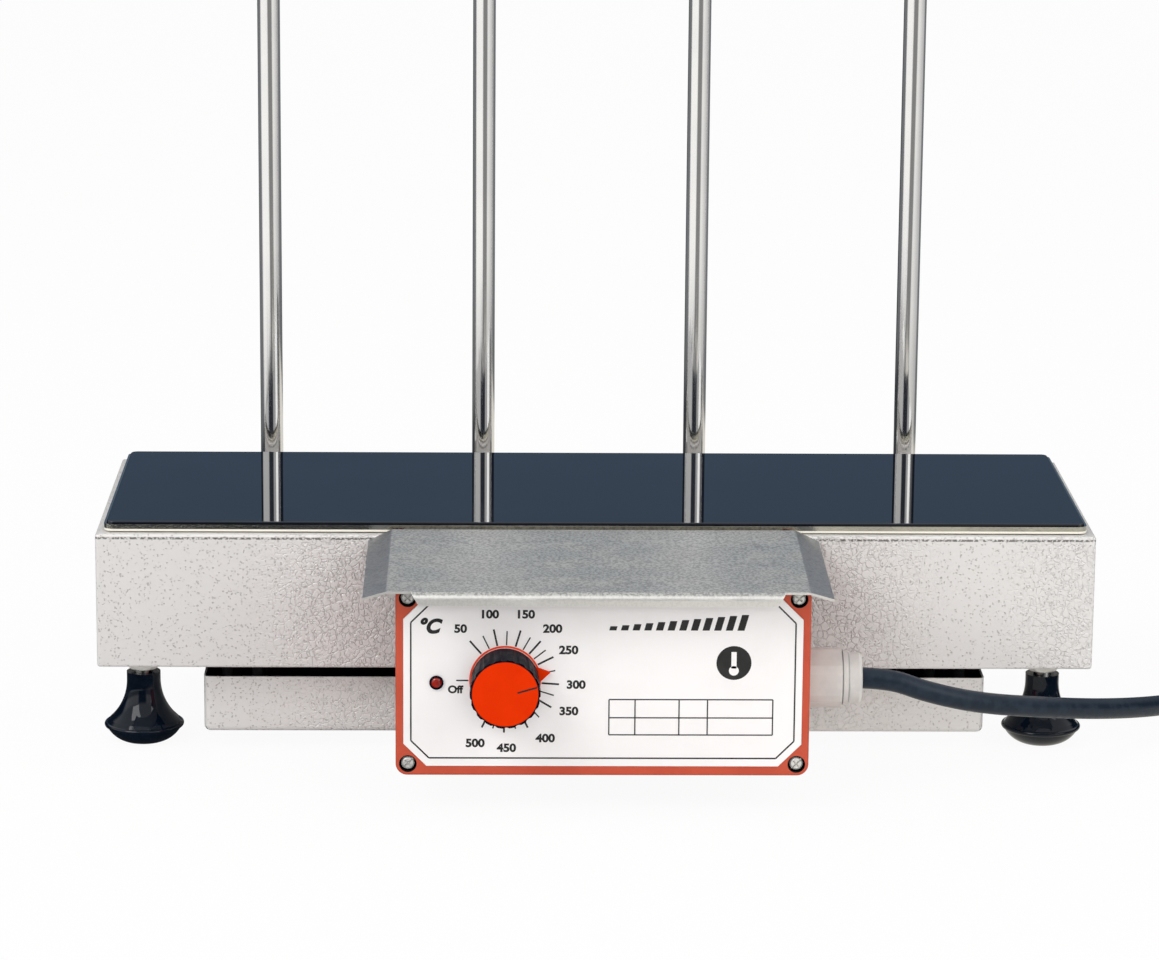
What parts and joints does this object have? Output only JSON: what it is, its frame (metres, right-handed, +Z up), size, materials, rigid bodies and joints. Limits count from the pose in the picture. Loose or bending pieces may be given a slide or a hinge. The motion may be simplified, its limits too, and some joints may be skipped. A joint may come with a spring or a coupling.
{
  "type": "laboratory hot plate",
  "caption": "Long ceramic hot plate on levelling feet, with a control box hung in front under a heat shield, rods behind and a mains cord.",
  "frame": {"origin": "on the bench under the middle of the object's box, cord left out", "axes": "+X along the plate to the right as seen from the control box, +Y from the control box to the rods, +Z up"},
  "size_m": [0.6238, 0.3129, 0.548],
  "materials": {
    "glass_ceramic": "glossy, near black",
    "ring_steel": "satin",
    "seal": "matt",
    "embossed_steel": "embossed with fine dimples",
    "shield_steel": "satin",
    "zinc_steel": "plain",
    "foot_black": "glossy",
    "insert_brass": "plain",
    "box_orange": "fine grain",
    "panel_white": "smooth",
    "knob_black": "satin",
    "knob_orange": "satin",
    "lamp_red": "clear red",
    "regulator_grey": "matt",
    "white_nylon": "translucent white",
    "cord_rubber": "satin",
    "rod_steel": "polished",
    "holder_metal": "satin",
    "insulation": "fibrous, matt",
    "ribbon": "oxidised"
  },
  "bodies": {
    "base": {"glass_plate": "glass_ceramic", "trim_ring": "ring_steel", "glass_seal": "seal", "housing_gasket": "seal", "gland_seal": "seal", "cable_bush": "seal", "housing": "embossed_steel", "bottom_cover": "embossed_steel", "lower_tray": "embossed_steel", "heat_shield": "shield_steel", "box_bracket": "shield_steel", "support_sheet": "shield_steel", "panel_screws": "zinc_steel", "tray_standoffs": "zinc_steel", "tray_screws": "zinc_steel", "foot_nuts": "zinc_steel", "foot_washers": "zinc_steel", "lid_screws": "zinc_steel", "holder_screws": "zinc_steel", "regulator_nut": "zinc_steel", "foot_inserts": "insert_brass", "plug_pins": "insert_brass", "box_body": "box_orange", "box_lid": "box_orange", "front_panel": "panel_white", "lamp_holder": "knob_black", "coil_tie": "knob_black", "lamp_lens": "lamp_red", "regulator": "regulator_grey", "gland_body": "white_nylon", "gland_nut": "white_nylon", "gland_locknut": "white_nylon", "cord_tube": "cord_rubber", "cord_tail": "cord_rubber", "cord_coil": "cord_rubber", "plug_body": "cord_rubber", "lead_loom": "cord_rubber", "support_rod_1": "rod_steel", "support_rod_2": "rod_steel", "support_rod_3": "rod_steel", "support_rod_4": "rod_steel", "rod_holders": "holder_metal", "insulation_tray": "insulation", "terminal_block": "insulation", "heating_ribbon": "ribbon", "temperature_probe": "ribbon"},
    "knob": {"knob_grip": "knob_black", "knob_cap": "knob_orange", "knob_pointer": "knob_orange", "regulator_shaft": "zinc_steel"},
    "foot_front_left": {"foot_front_left": "foot_black", "stud_front_left": "zinc_steel"},
    "foot_front_right": {"foot_front_right": "foot_black", "stud_front_right": "zinc_steel"},
    "foot_rear_left": {"foot_rear_left": "foot_black", "stud_rear_left": "zinc_steel"},
    "foot_rear_right": {"foot_rear_right": "foot_black", "stud_rear_right": "zinc_steel"}
  },
  "joints": [
    {"name": "knob_turn", "type": "hinge", "parent": "base", "child": "knob", "pos_m": [-0.0401, -0.12, 0.0583], "axis": [0, -1, 0], "range_deg": [-127.2, 168.2]},
    {"name": "foot_front_left_height", "type": "slide", "parent": "base", "child": "foot_front_left", "axis": [0, 0, -1], "range_m": [0, 0.006]},
    {"name": "foot_front_right_height", "type": "slide", "parent": "base", "child": "foot_front_right", "axis": [0, 0, -1], "range_m": [0, 0.006]},
    {"name": "foot_rear_left_height", "type": "slide", "parent": "base", "child": "foot_rear_left", "axis": [0, 0, -1], "range_m": [0, 0.006]},
    {"name": "foot_rear_right_height", "type": "slide", "parent": "base", "child": "foot_rear_right", "axis": [0, 0, -1], "range_m": [0, 0.006]}
  ]
}
